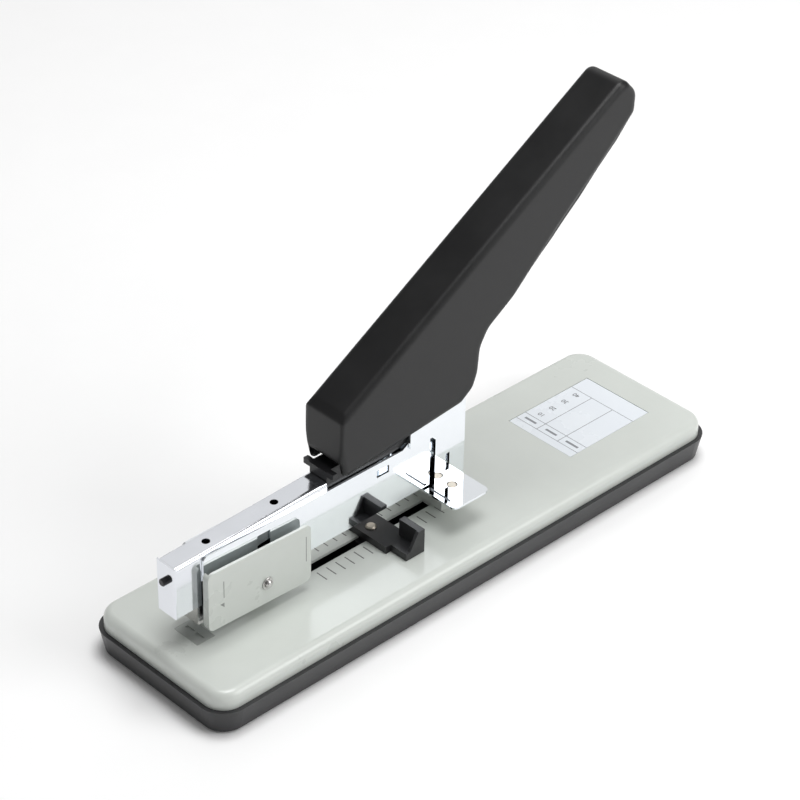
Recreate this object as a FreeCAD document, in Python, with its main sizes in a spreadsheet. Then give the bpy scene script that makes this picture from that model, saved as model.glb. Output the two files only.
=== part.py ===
import FreeCAD, Part
import math
import os
import types

import Sketcher

# Heavy-duty stapler, in millimetres.
# The origin is the centre of the face it rests on. +X runs from the staple end to the
# free end of the handle, +Y is the far side and +Z is up.

document = FreeCAD.newDocument("heavy_duty_stapler")
sheet = document.addObject("Spreadsheet::Sheet", "Sizes")

# Driving dimensions: one spreadsheet cell each

DIMENSIONS = {
    # base: a black moulded tray under a painted sheet cover
    "base_length": 280.0,
    "base_width": 80.0,
    "base_corner": 11.5,
    "foot_drop": 1.0,
    "tray_height": 10.4,
    "tray_draft": 2.0,
    "tray_wall": 3.6,
    "tray_floor": 2.4,
    "ledge_width": 2.0,
    "rebate_depth": 1.2,
    "rib_thickness": 1.8,
    "cover_top": 19.0,
    "cover_sheet": 1.2,
    "cover_round": 3.6,
    "cover_fit": 0.1,
    "foot_diameter": 14.0,
    "foot_inset": 16.0,
    # base: what the cover carries
    "slot_front": -88.0,
    "slot_rear": 6.0,
    "slot_width": 4.8,
    "label_centre": 97.2,
    "label_length": 49.2,
    "label_width": 36.4,
    "label_recess": 0.4,
    "label_thickness": 0.3,
    "anvil_place": -118.6,
    "anvil_length": 9.0,
    "anvil_width": 14.0,
    "anvil_seat": 0.9,
    "anvil_groove": 0.35,
    # bracket that carries the head, and the riser below it
    "wing_top": 33.1,
    "wing_half_width": 24.6,
    "wing_front": -2.8,
    "wing_rear": 17.4,
    "wing_corner": 2.5,
    "riser_plate": 1.5,
    "riser_front": 6.0,
    "riser_half_width": 8.5,
    "rivet_place": 8.4,
    "rivet_spread": 11.8,
    "rivet_diameter": 3.0,
    "rivet_head": 4.6,
    "bracket_inner": 6.6,
    "bracket_sheet": 1.0,
    "bracket_front": 2.5,
    "bracket_rear": 19.0,
    "bracket_step": 57.8,
    "bracket_step_front": -11.7,
    "arm_lower": 66.9,
    "arm_upper": 77.0,
    "ear_radius": 5.6,
    # pivots
    "pivot_place": 10.0,
    "pivot_height": 74.0,
    "pivot_diameter": 5.0,
    "handle_pivot_place": -42.0,
    "handle_pivot_height": 70.0,
    "pivot_play": 0.05,
    # head: sheet-steel magazine frame and what it holds
    "frame_half_width": 6.4,
    "frame_sheet": 0.9,
    "frame_front": -118.5,
    "frame_rear": 0.6,
    "frame_top": 58.0,
    "frame_bottom": 34.0,
    "nose_bottom": 26.0,
    "deep_rear": -68.0,
    "nose_front": -120.3,
    "nose_half_width": 4.3,
    "blade_slot": 1.4,
    "rail_half_width": 4.2,
    "rail_top": 34.3,
    "rail_sheet": 0.8,
    "stud_place": -90.0,
    "stud_height": 33.6,
    # clamp foot: the two painted side plates
    "foot_plate_outer": 10.2,
    "foot_plate_sheet": 1.2,
    "foot_plate_front": -119.6,
    "foot_plate_rear": -67.4,
    "foot_plate_low": 24.2,
    "foot_plate_high": 51.2,
    "foot_plate_tilt": 2.0,
    "foot_web_length": 14.0,
    # driver channel and lever
    "channel_half_width": 5.4,
    "channel_sheet": 0.9,
    "channel_front": -131.7,
    "channel_rear": -54.6,
    "channel_top": 58.6,
    "channel_low": 35.5,
    "channel_inner_low": 47.0,
    "channel_tilt": 2.0,
    "frame_gap": 0.5,
    "boss_gap": 0.05,
    "lip_low": 63.6,
    "handle_length": 175.5,
    "channel_hole": 3.4,
    "front_pin_height": 51.0,
    "front_pin_diameter": 3.2,
    "front_pin_length": 2.2,
    "lever_half_width": 4.9,
    "lever_pad": 68.8,
    "blade_thickness": 0.8,
    "blade_half_width": 3.3,
    "blade_low": 35.9,
    # handle
    "handle_half_width": 10.4,
    "handle_wall": 1.5,
    "handle_slope": 31.4,
    "handle_tip": 108.6,
    "handle_nose": -51.6,
    "roller_arm": 8.6,
    "roller_rise": 16.5,
    "roller_radius": 3.5,
    # paper guide
    "guide_front": -30.6,
    "guide_rear": -18.0,
    "guide_half_width": 23.2,
    "guide_bar_height": 3.3,
    "guide_tab_top": 30.2,
    "guide_tab_width": 11.6,
    "guide_rivet": -25.6,
    "slide_gap": 0.1,
}


class Size:
    """A length or an angle that knows its number and the sheet formula behind it."""

    def __init__(self, number, formula):
        self.number = number
        self.formula = formula

    def __add__(self, other):
        other = as_size(other)
        return Size(self.number + other.number, f"({self.formula} + {other.formula})")

    def __sub__(self, other):
        other = as_size(other)
        return Size(self.number - other.number, f"({self.formula} - {other.formula})")

    def __mul__(self, other):
        other = as_size(other)
        return Size(self.number * other.number, f"({self.formula} * {other.formula})")

    def __truediv__(self, other):
        other = as_size(other)
        return Size(self.number / other.number, f"({self.formula} / {other.formula})")

    def __neg__(self):
        return Size(-self.number, f"(0 - {self.formula})")

    __radd__ = __add__
    __rmul__ = __mul__

    def __rsub__(self, other):
        return as_size(other) - self


def as_size(value):
    """Read a plain number as a Size."""
    if isinstance(value, Size):
        return value
    return Size(float(value), f"({float(value)})")


def sine(angle):
    """Sine of an angle given in degrees."""
    angle = as_size(angle)
    return Size(math.sin(math.radians(angle.number)), f"sin({angle.formula} * 1 deg)")


def cosine(angle):
    """Cosine of an angle given in degrees."""
    angle = as_size(angle)
    return Size(math.cos(math.radians(angle.number)), f"cos({angle.formula} * 1 deg)")


def tangent(angle):
    """Tangent of an angle given in degrees."""
    return sine(angle) / cosine(angle)


S = types.SimpleNamespace()
for row, (alias, number) in enumerate(DIMENSIONS.items(), start=1):
    sheet.set(f"A{row}", alias)
    sheet.set(f"B{row}", str(number))
    sheet.setAlias(f"B{row}", alias)
    setattr(S, alias, Size(number, f"Sizes.{alias}"))
document.recompute()


# Tools that draw, cut and place

TOP = "XY_Plane"
SIDE = "XZ_Plane"
END = "YZ_Plane"
NODES = []


def node(item, label):
    """Name a finished sub-part: its label is also the name of its file."""
    item.Label = label
    NODES.append(item)
    return item


def bind(item, path, value):
    """Tie one property to its formula in the sheet."""
    item.setExpression(path, as_size(value).formula)


def new_body(name):
    """Start an empty body."""
    return document.addObject("PartDesign::Body", name)


def new_sketch(body, name, plane, offset):
    """Lay a sketch on one of the body's own planes, shifted along the plane's normal."""
    sketch = body.newObject("Sketcher::SketchObject", name)
    for feature in body.Origin.OriginFeatures:
        if feature.Role == plane:
            sketch.AttachmentSupport = [(feature, "")]
    sketch.MapMode = "FlatFace"
    bind(sketch, ".AttachmentOffset.Base.z", offset)
    return sketch


def fix_point(sketch, geometry, point, place):
    """Hold one point of a sketch at its bound coordinates."""
    for kind, value in zip(("DistanceX", "DistanceY"), place):
        value = as_size(value)
        rule = Sketcher.Constraint(kind, -1, 1, geometry, point, value.number)
        number = sketch.addConstraint(rule)
        sketch.setExpression(f"Constraints[{number}]", value.formula)


def flat(place):
    """Plain vector of a pair of sizes."""
    return FreeCAD.Vector(as_size(place[0]).number, as_size(place[1]).number, 0)


def outline(body, name, plane, corners, offset=0):
    """Closed outline of straight sides through the given corners."""
    sketch = new_sketch(body, name, plane, offset)
    following = corners[1:] + corners[:1]
    for start, end in zip(corners, following):
        sketch.addGeometry(Part.LineSegment(flat(start), flat(end)), False)
    for index in range(len(corners)):
        onward = (index + 1) % len(corners)
        sketch.addConstraint(Sketcher.Constraint("Coincident", index, 2, onward, 1))
    for index, corner in enumerate(corners):
        fix_point(sketch, index, 1, corner)
    return sketch


def box_outline(body, name, plane, low, high, offset=0):
    """Rectangle between two opposite corners."""
    corners = [low, (high[0], low[1]), high, (low[0], high[1])]
    return outline(body, name, plane, corners, offset)


def circles(body, name, plane, centres, diameter, offset=0):
    """Equal circles at the given centres."""
    sketch = new_sketch(body, name, plane, offset)
    diameter = as_size(diameter)
    for index, centre in enumerate(centres):
        circle = Part.Circle(flat(centre), FreeCAD.Vector(0, 0, 1), diameter.number / 2)
        sketch.addGeometry(circle, False)
        fix_point(sketch, index, 3, centre)
        number = sketch.addConstraint(Sketcher.Constraint("Diameter", index, diameter.number))
        sketch.setExpression(f"Constraints[{number}]", diameter.formula)
    return sketch


def grow(body, kind, name, sketch, length, both, back):
    """Make a pad or a pocket from a sketch."""
    feature = body.newObject(kind, name)
    feature.Profile = sketch
    feature.Midplane = both
    feature.Reversed = back
    bind(feature, "Length", length)
    sketch.Visibility = False
    return feature


def pad(body, name, sketch, length, both=False, back=False):
    """Add the sketch's area, drawn out along its normal."""
    return grow(body, "PartDesign::Pad", name, sketch, length, both, back)


def pocket(body, name, sketch, length, both=False, back=False):
    """Cut the sketch's area away, against its normal unless back is set."""
    return grow(body, "PartDesign::Pocket", name, sketch, length, both, back)


def round_edges(body, name, radius, wanted):
    """Round each edge of the body that the test picks out."""
    document.recompute()
    base = body.Tip
    picked = [
        f"Edge{number}"
        for number, edge in enumerate(base.Shape.Edges, start=1)
        if wanted(edge)
    ]
    feature = body.newObject("PartDesign::Fillet", name)
    feature.Base = (base, picked)
    bind(feature, "Radius", radius)
    document.recompute()
    return feature


def runs_along(edge, axis):
    """True for a straight edge along the axis."""
    if edge.Curve.TypeId != "Part::GeomLine":
        return False
    return abs(abs(edge.tangentAt(edge.FirstParameter).dot(axis)) - 1) < 0.001


def near(edge, x=None, y=None, z=None, reach=0.3):
    """True when the middle of an edge has the given coordinates."""
    middle = edge.CenterOfMass
    pairs = ((middle.x, x), (middle.y, y), (middle.z, z))
    for value, wanted in pairs:
        if wanted is not None and abs(value - as_size(wanted).number) > reach:
            return False
    return True


X_AXIS = FreeCAD.Vector(1, 0, 0)
Y_AXIS = FreeCAD.Vector(0, 1, 0)
Z_AXIS = FreeCAD.Vector(0, 0, 1)
UPRIGHT = FreeCAD.Rotation()
ALONG_Y = FreeCAD.Rotation(X_AXIS, -90)
ALONG_X = FreeCAD.Rotation(Y_AXIS, 90)


def put(item, place, turn=UPRIGHT):
    """Set a sub-part at a bound place, turned as asked."""
    base = FreeCAD.Vector(*[as_size(value).number for value in place])
    item.Placement = FreeCAD.Placement(base, turn)
    for axis, value in zip("xyz", place):
        bind(item, f"Placement.Base.{axis}", value)
    return item


def turned(name, corners, place, turn=UPRIGHT):
    """Revolve a half outline of (radius, height) points about its upright axis."""
    body = new_body(name)
    sketch = outline(body, f"{name}_outline", SIDE, corners)
    feature = body.newObject("PartDesign::Revolution", f"{name}_turn")
    feature.Profile = sketch
    feature.ReferenceAxis = (sketch, ["V_Axis"])
    feature.Angle = 360
    sketch.Visibility = False
    return put(body, place, turn)


def pair(item, label, normal=Y_AXIS):
    """Join a sub-part and its mirror image about the middle into one group."""
    document.recompute()
    twin = document.addObject("Part::Mirroring", f"{item.Name}_twin")
    twin.Source = item
    twin.Normal = normal
    group = document.addObject("Part::Compound", f"{item.Name}_group")
    group.Links = [item, twin]
    return node(group, label) if label else group


# Base

FLOOR = S.foot_drop
RIM = S.foot_drop + S.tray_height
COVER_LOW = RIM - S.rebate_depth
COVER_UNDER = S.cover_top - S.cover_sheet


def rounded_plate(body, name, length, width, corner, height):
    """Outline of a plate about the origin with equal round corners."""
    sketch = new_sketch(body, name, TOP, height)
    half_x = as_size(length) / 2
    half_y = as_size(width) / 2
    corner = as_size(corner)
    x, y, r = half_x.number, half_y.number, corner.number
    ends = [
        ((-x + r, -y), (x - r, -y)),
        ((x, -y + r), (x, y - r)),
        ((x - r, y), (-x + r, y)),
        ((-x, y - r), (-x, -y + r)),
    ]
    centres = [(x - r, -y + r), (x - r, y - r), (-x + r, y - r), (-x + r, -y + r)]
    quarter = math.pi / 2
    for side, (ends_of_side, centre) in enumerate(zip(ends, centres)):
        start, end = ends_of_side
        sketch.addGeometry(Part.LineSegment(flat(start), flat(end)), False)
        circle = Part.Circle(flat(centre), Z_AXIS, r)
        first = -quarter + side * quarter
        sketch.addGeometry(Part.ArcOfCircle(circle, first, first + quarter), False)
    for side in range(4):
        line, arc = 2 * side, 2 * side + 1
        onward = (line + 2) % 8
        sketch.addConstraint(Sketcher.Constraint("Tangent", line, 2, arc, 1))
        sketch.addConstraint(Sketcher.Constraint("Tangent", arc, 2, onward, 1))
        direction = "Horizontal" if side % 2 == 0 else "Vertical"
        sketch.addConstraint(Sketcher.Constraint(direction, line))
    for side in range(1, 4):
        sketch.addConstraint(Sketcher.Constraint("Equal", 1, 2 * side + 1))
    rules = (
        (("Radius", 1, r), corner),
        (("DistanceX", -1, 1, 2, 1, x), half_x),
        (("DistanceX", -1, 1, 6, 1, -x), -half_x),
        (("DistanceY", -1, 1, 0, 1, -y), -half_y),
        (("DistanceY", -1, 1, 4, 1, y), half_y),
    )
    for rule, value in rules:
        number = sketch.addConstraint(Sketcher.Constraint(*rule))
        sketch.setExpression(f"Constraints[{number}]", value.formula)
    return sketch


def corner_places(inset):
    """Four places set in from the corners of the base."""
    x = S.base_length / 2 - inset
    y = S.base_width / 2 - inset
    return [(x, y), (-x, y), (-x, -y), (x, -y)]


def base_tray():
    """Black moulded tray: drafted wall, ledge, rebate for the cover, ribs and foot pockets."""
    body = new_body("tray")
    low = rounded_plate(
        body, "tray_low", S.base_length - S.tray_draft * 2, S.base_width - S.tray_draft * 2,
        S.base_corner - S.tray_draft, FLOOR)
    high = rounded_plate(body, "tray_high", S.base_length, S.base_width, S.base_corner, RIM)
    shell = body.newObject("PartDesign::AdditiveLoft", "tray_shell")
    shell.Profile = low
    shell.Sections = [high]
    shell.Ruled = True
    rebate = rounded_plate(
        body, "tray_rebate_edge", S.base_length - S.ledge_width * 2 + S.cover_fit * 2,
        S.base_width - S.ledge_width * 2 + S.cover_fit * 2,
        S.base_corner - S.ledge_width + S.cover_fit, RIM)
    pocket(body, "tray_rebate", rebate, S.rebate_depth)
    hollow = rounded_plate(
        body, "tray_hollow_edge", S.base_length - S.tray_wall * 2 - S.tray_draft * 2,
        S.base_width - S.tray_wall * 2 - S.tray_draft * 2,
        S.base_corner - S.tray_wall - S.tray_draft, RIM)
    pocket(body, "tray_hollow", hollow, S.tray_height - S.tray_floor)
    half_length = S.base_length / 2 - S.tray_wall - S.tray_draft
    half_width = S.base_width / 2 - S.tray_wall - S.tray_draft
    rib_height = COVER_LOW - FLOOR - S.tray_floor
    for number, place in enumerate((-0.55, 0.16, 0.58)):
        middle = S.base_length * (place / 2)
        rib = box_outline(
            body, f"tray_rib_edge_{number}", TOP,
            (middle - S.rib_thickness / 2, -half_width - 1),
            (middle + S.rib_thickness / 2, half_width + 1), FLOOR + S.tray_floor - 0.2)
        pad(body, f"tray_rib_{number}", rib, rib_height)
    for number, side in enumerate((-1, 1)):
        middle = S.base_width * 0.3 * side
        rib = box_outline(
            body, f"tray_long_rib_edge_{number}", TOP,
            (-half_length - 1, middle - S.rib_thickness / 2),
            (half_length + 1, middle + S.rib_thickness / 2), FLOOR + S.tray_floor - 0.2)
        pad(body, f"tray_long_rib_{number}", rib, rib_height)
    bosses = circles(body, "boss_edges", TOP, screw_places(), 8.0, FLOOR + S.tray_floor - 0.2)
    pad(body, "tray_bosses", bosses, COVER_UNDER - FLOOR - S.tray_floor + 0.2 - S.boss_gap)
    bores = circles(body, "bore_edges", TOP, screw_places(), 3.4, FLOOR)
    pocket(body, "tray_bores", bores, 30, back=True)
    sinks = circles(body, "sink_edges", TOP, screw_places(), 6.6, FLOOR)
    pocket(body, "tray_sinks", sinks, 1.6, back=True)
    feet = circles(body, "foot_edges", TOP, corner_places(S.foot_inset), S.foot_diameter, FLOOR)
    pocket(body, "foot_pockets", feet, 0.8, back=True)
    return node(body, "base_tray")


def screw_places():
    """Where the four cover screws stand."""
    x = S.base_length * 0.36
    y = S.base_width * 0.36
    return [(x, y), (-x, y), (-x, -y), (x, -y)]


def base_cover():
    """Painted sheet cover: drawn edge, guide slot, label recess and anvil seat."""
    body = new_body("cover")
    length = S.base_length - S.ledge_width * 2
    width = S.base_width - S.ledge_width * 2
    corner = S.base_corner - S.ledge_width
    edge = rounded_plate(body, "cover_edge", length, width, corner, COVER_LOW)
    pad(body, "cover_block", edge, S.cover_top - COVER_LOW)
    round_edges(body, "cover_round_edge", S.cover_round, lambda e: near(e, z=S.cover_top))
    hollow = rounded_plate(
        body, "cover_hollow_edge", length - S.cover_sheet * 2, width - S.cover_sheet * 2,
        corner - S.cover_sheet, COVER_LOW)
    pocket(body, "cover_hollow", hollow, COVER_UNDER - COVER_LOW, back=True)
    limit = (length / 2).number - 0.1
    round_edges(
        body, "cover_inner_round", S.cover_round - S.cover_sheet,
        lambda e: near(e, z=COVER_UNDER) and abs(e.CenterOfMass.x) < limit)
    slot = box_outline(
        body, "slot_edge", TOP, (S.slot_front, -S.slot_width / 2),
        (S.slot_rear, S.slot_width / 2), S.cover_top)
    pocket(body, "guide_slot", slot, S.cover_sheet * 2)
    recess = box_outline(
        body, "label_edge", TOP,
        (S.label_centre - S.label_length / 2, -S.label_width / 2),
        (S.label_centre + S.label_length / 2, S.label_width / 2), S.cover_top)
    pocket(body, "label_recess", recess, S.label_recess)
    seat = box_outline(
        body, "anvil_edge", TOP,
        (S.anvil_place - S.anvil_length / 2, -S.anvil_width / 2),
        (S.anvil_place + S.anvil_length / 2, S.anvil_width / 2), S.cover_top)
    pocket(body, "anvil_seat_pocket", seat, S.anvil_seat)
    return node(body, "base_cover")


def rubber_feet():
    """Four rubber pads let into the underside of the tray."""
    x, y = corner_places(S.foot_inset)[0]
    radius = S.foot_diameter / 2 - 0.1
    profile = [(0, 0), (radius - 0.8, 0), (radius, 0.8), (radius, 1.8), (0, 1.8)]
    foot = turned("foot", profile, (x, y, 0))
    return pair(pair(foot, None), "rubber_feet", X_AXIS)


def cover_screws():
    """Four pan-head screws that hold the cover to the tray from below."""
    x, y = screw_places()[0]
    top = COVER_UNDER - FLOOR - 0.3
    profile = [(0, 0.2), (2.9, 0.2), (2.9, 1.6), (1.6, 1.6), (1.6, top), (0, top)]
    screw = turned("cover_screw", profile, (x, y, FLOOR))
    return pair(pair(screw, None), "cover_screws", X_AXIS)


def label_plate():
    """Bare instruction plate, set into its recess."""
    body = new_body("label")
    gap = 0.25
    edge = box_outline(
        body, "label_plate_edge", TOP,
        (S.label_centre - S.label_length / 2 + gap, -S.label_width / 2 + gap),
        (S.label_centre + S.label_length / 2 - gap, S.label_width / 2 - gap),
        S.cover_top - S.label_recess)
    pad(body, "label_sheet", edge, S.label_thickness)
    return node(body, "label_plate")


def anvil():
    """Steel anvil let into the cover, with two forming grooves for the staple legs."""
    body = new_body("anvil_body")
    gap = 0.1
    edge = box_outline(
        body, "anvil_plate_edge", TOP,
        (S.anvil_place - S.anvil_length / 2 + gap, -S.anvil_width / 2 + gap),
        (S.anvil_place + S.anvil_length / 2 - gap, S.anvil_width / 2 - gap),
        S.cover_top - S.anvil_seat)
    pad(body, "anvil_plate", edge, S.anvil_seat)
    for number, side in enumerate((-1, 1)):
        middle = S.anvil_width * 0.2 * side
        groove = box_outline(
            body, f"groove_edge_{number}", TOP,
            (S.anvil_place - 0.7, middle - 2.2), (S.anvil_place + 0.7, middle + 2.2),
            S.cover_top)
        pocket(body, f"groove_{number}", groove, S.anvil_groove)
    return node(body, "anvil")


# Bracket and its riser

WING_LOW = S.wing_top - S.bracket_sheet
BRACKET_OUTER = S.bracket_inner + S.bracket_sheet


def rivet_spots():
    """Places of the wing rivets."""
    return [(S.rivet_place, S.rivet_spread * side) for side in (-1, 1)]


def bracket_riser():
    """Painted riser: a foot block with a top plate that backs the wings."""
    body = new_body("riser")
    plate_low = WING_LOW - S.riser_plate
    block = box_outline(
        body, "riser_block_edge", TOP, (S.riser_front, -S.riser_half_width),
        (S.wing_rear - 0.6, S.riser_half_width), S.cover_top)
    pad(body, "riser_block", block, plate_low - S.cover_top + 0.2)
    plate = box_outline(
        body, "riser_plate_edge", TOP, (S.wing_front + 3.4, -S.wing_half_width + 2.2),
        (S.wing_rear - 0.6, S.wing_half_width - 2.2), plate_low)
    pad(body, "riser_top", plate, S.riser_plate)
    hollow = box_outline(
        body, "riser_hollow_edge", TOP,
        (S.riser_front + 1.6, -S.riser_half_width + 1.6),
        (S.wing_rear - 2.2, S.riser_half_width - 1.6), S.cover_top)
    pocket(body, "riser_hollow", hollow, plate_low - S.cover_top - 1.0, back=True)
    holes = circles(
        body, "riser_hole_edges", TOP, rivet_spots(), S.rivet_diameter + 0.1, WING_LOW)
    pocket(body, "riser_holes", holes, S.riser_plate * 2)
    return node(body, "bracket_riser")


def rear_bracket():
    """Folded sheet bracket: wings below, two upright cheeks and arms reaching the handle pin."""
    body = new_body("bracket")
    plate = box_outline(
        body, "wing_edge", TOP, (S.wing_front, -S.wing_half_width),
        (S.wing_rear, S.wing_half_width), WING_LOW)
    pad(body, "wings", plate, S.bracket_sheet)
    front = S.handle_pivot_place - S.ear_radius
    cheek_corners = [
        (S.bracket_front, WING_LOW),
        (S.bracket_rear, WING_LOW),
        (S.bracket_rear, S.pivot_height - 6),
        (S.pivot_place + 5, S.pivot_height + 3),
        (S.pivot_place, S.pivot_height + S.ear_radius),
        (S.pivot_place - 8, S.pivot_height + S.ear_radius - 0.5),
        (S.handle_pivot_place + 4, S.arm_upper - 1),
        (S.handle_pivot_place, S.handle_pivot_height + S.ear_radius),
        (front + 1.2, S.handle_pivot_height + 3.4),
        (front, S.handle_pivot_height),
        (front + 1.2, S.handle_pivot_height - 3.4),
        (S.handle_pivot_place, S.handle_pivot_height - S.ear_radius + 0.4),
        (S.handle_pivot_place + 6, S.arm_lower),
        (S.bracket_step_front, S.arm_lower),
        (S.bracket_step_front, S.bracket_step),
        (S.bracket_front - 1.9, S.bracket_step),
        (S.bracket_front, S.bracket_step - 1.9),
    ]
    cheeks = outline(body, "cheek_edge", SIDE, cheek_corners)
    pad(body, "cheeks", cheeks, BRACKET_OUTER * 2, both=True)
    inner_corners = [
        (front - 2, WING_LOW - 2),
        (S.bracket_rear - S.bracket_sheet, WING_LOW - 2),
        (S.bracket_rear - S.bracket_sheet, S.bracket_step),
        (S.bracket_rear + 2, S.bracket_step + 2),
        (S.bracket_rear + 2, S.pivot_height + 20),
        (front - 2, S.pivot_height + 20),
    ]
    between = outline(body, "between_edge", SIDE, inner_corners)
    pocket(body, "between_cheeks", between, S.bracket_inner * 2, both=True)
    bridge = box_outline(
        body, "bridge_edge", TOP, (S.wing_front, -BRACKET_OUTER),
        (S.wing_rear, BRACKET_OUTER), WING_LOW)
    pad(body, "bridge", bridge, S.bracket_sheet)
    pivots = circles(
        body, "pivot_holes_edge", SIDE, [(S.pivot_place, S.pivot_height)], S.pivot_diameter)
    pocket(body, "pivot_holes", pivots, 60, both=True)
    handle_pivots = circles(
        body, "handle_pivot_edge", SIDE,
        [(S.handle_pivot_place, S.handle_pivot_height)], S.pivot_diameter)
    pocket(body, "handle_pivot_holes", handle_pivots, 60, both=True)
    tab = box_outline(body, "tab_window_edge", SIDE, (8.4, 37.5), (10.6, 46.0))
    pocket(body, "tab_windows", tab, 60, both=True)
    rib = box_outline(
        body, "wing_rib_edge", TOP, (S.wing_front + 2.6, -S.wing_half_width + 5),
        (S.wing_front + 3.8, -BRACKET_OUTER - 0.6), S.wing_top)
    pad(body, "wing_rib", rib, 0.6)
    far_rib = box_outline(
        body, "far_wing_rib_edge", TOP, (S.wing_front + 2.6, BRACKET_OUTER + 0.6),
        (S.wing_front + 3.8, S.wing_half_width - 5), S.wing_top)
    pad(body, "far_wing_rib", far_rib, 0.6)
    holes = circles(
        body, "wing_hole_edges", TOP, rivet_spots(), S.rivet_head + 0.1, S.wing_top)
    pocket(body, "wing_holes", holes, S.bracket_sheet * 2)
    round_edges(
        body, "wing_corners", S.wing_corner,
        lambda e: runs_along(e, Z_AXIS) and abs(abs(e.CenterOfMass.y) - S.wing_half_width.number) < 0.1)
    return node(body, "rear_bracket")


def wing_rivets():
    """Flush rivets that hold the wings to the riser."""
    depth = S.bracket_sheet + S.riser_plate
    head = S.rivet_head / 2
    shank = S.rivet_diameter / 2
    profile = [(0, -depth - 0.6), (shank + 0.8, -depth - 0.6), (shank + 0.8, -depth),
               (shank, -depth), (shank, -S.bracket_sheet), (head, -S.bracket_sheet),
               (head, -0.4), (head - 0.5, -0.15), (0, -0.15)]
    rivet = turned("wing_rivet", profile, (S.rivet_place, S.rivet_spread, S.wing_top))
    return pair(rivet, "wing_rivets")


def cross_pin(name, label, place, height, half_length):
    """Plain steel pin across the machine."""
    pin = document.addObject("Part::Cylinder", name)
    bind(pin, "Radius", S.pivot_diameter / 2)
    bind(pin, "Height", as_size(half_length) * 2)
    put(pin, (place, -as_size(half_length), height), ALONG_Y)
    return node(pin, label)


# Head

def magazine_frame():
    """Long sheet-steel frame: two side walls, a floor, windows and the ears for the rear pin."""
    body = new_body("frame")
    walls = [
        (S.frame_front, S.nose_bottom),
        (S.deep_rear - 2, S.nose_bottom),
        (S.deep_rear, S.nose_bottom + 2),
        (S.deep_rear, S.frame_bottom),
        (S.frame_rear, S.frame_bottom),
        (S.frame_rear, S.frame_top - 1),
        (S.pivot_place + 3, S.pivot_height - 5),
        (S.pivot_place + S.ear_radius, S.pivot_height),
        (S.pivot_place + 3.6, S.pivot_height + 4),
        (S.pivot_place - 2, S.pivot_height + S.ear_radius - 1.6),
        (S.pivot_place - S.ear_radius - 4, S.pivot_height + 2),
        (S.bracket_step_front, S.frame_top + 2),
        (S.bracket_step_front - 3, S.frame_top),
        (S.frame_front, S.frame_top),
    ]
    side = outline(body, "frame_edge", SIDE, walls)
    pad(body, "frame_block", side, S.frame_half_width * 2, both=True)
    inner = S.frame_half_width - S.frame_sheet
    bay = box_outline(
        body, "bay_edge", END, (-inner, S.nose_bottom + S.frame_sheet),
        (inner, S.pivot_height + 20), S.frame_front - 2)
    pocket(body, "bay", bay, S.deep_rear - S.frame_front + 2 - S.frame_sheet, back=True)
    rear_bay = box_outline(
        body, "rear_bay_edge", END, (-inner, S.frame_bottom + S.frame_sheet),
        (inner, S.pivot_height + 20), S.frame_front - 2)
    pocket(body, "rear_bay", rear_bay, S.pivot_place - S.frame_front + 20, back=True)
    mouth = box_outline(
        body, "mouth_edge", TOP, (S.frame_front - 1, -inner),
        (S.frame_front + 3.2, inner), S.nose_bottom)
    pocket(body, "mouth", mouth, S.frame_sheet * 2, back=True)
    windows = box_outline(body, "front_window_edge", SIDE, (-91.5, 48.3), (-85.0, 54.8))
    pocket(body, "front_windows", windows, 40, both=True)
    rear_windows = box_outline(body, "rear_window_edge", SIDE, (-28.8, 51.4), (-22.2, 54.8))
    pocket(body, "rear_windows", rear_windows, 40, both=True)
    studs = circles(body, "stud_hole_edge", SIDE, [(S.stud_place, S.stud_height)], 2.4)
    pocket(body, "stud_holes", studs, 40, both=True)
    bore = circles(
        body, "frame_bore_edge", SIDE, [(S.pivot_place, S.pivot_height)],
        S.pivot_diameter + S.pivot_play * 2)
    pocket(body, "frame_bores", bore, 40, both=True)
    round_edges(
        body, "frame_front_corners", 2.2,
        lambda e: runs_along(e, Y_AXIS) and near(e, x=S.frame_front, z=S.frame_top))
    return node(body, "magazine_frame")


def nose_block():
    """Steel outlet block at the staple end, slotted for the driver blade."""
    body = new_body("nose")
    block = box_outline(
        body, "nose_edge", TOP, (S.nose_front, -S.nose_half_width),
        (S.frame_front + 6, S.nose_half_width), S.nose_bottom)
    pad(body, "nose_solid", block, S.rail_top - S.nose_bottom)
    tail = box_outline(
        body, "nose_tail_edge", TOP, (S.frame_front + 3.2, -S.nose_half_width - 1),
        (S.frame_front + 7, S.nose_half_width + 1), S.nose_bottom - 1)
    pocket(body, "nose_tail", tail, S.frame_sheet + 1, back=True)
    slot = box_outline(
        body, "blade_slot_edge", TOP,
        (S.anvil_place - S.blade_slot / 2, -S.blade_half_width - 0.2),
        (S.anvil_place + S.blade_slot / 2, S.blade_half_width + 0.2), S.rail_top)
    pocket(body, "blade_slot_cut", slot, 30)
    return node(body, "nose_block")


def staple_rail():
    """Folded inner rail that the staples ride on, with the spring channel inside it."""
    body = new_body("rail")
    low = S.nose_bottom + S.frame_sheet
    block = box_outline(
        body, "rail_edge", END, (-S.rail_half_width, low), (S.rail_half_width, S.rail_top),
        S.frame_front + 6)
    length = S.deep_rear - S.frame_front - 6 - S.frame_sheet
    pad(body, "rail_block", block, length)
    channel = box_outline(
        body, "rail_channel_edge", END, (-S.rail_half_width + S.rail_sheet, low + S.rail_sheet),
        (S.rail_half_width - S.rail_sheet, S.rail_top + 1), S.frame_front + 6 + 1.2)
    pocket(body, "rail_channel", channel, length - 2.4, back=True)
    return node(body, "staple_rail")


# Clamp foot

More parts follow.
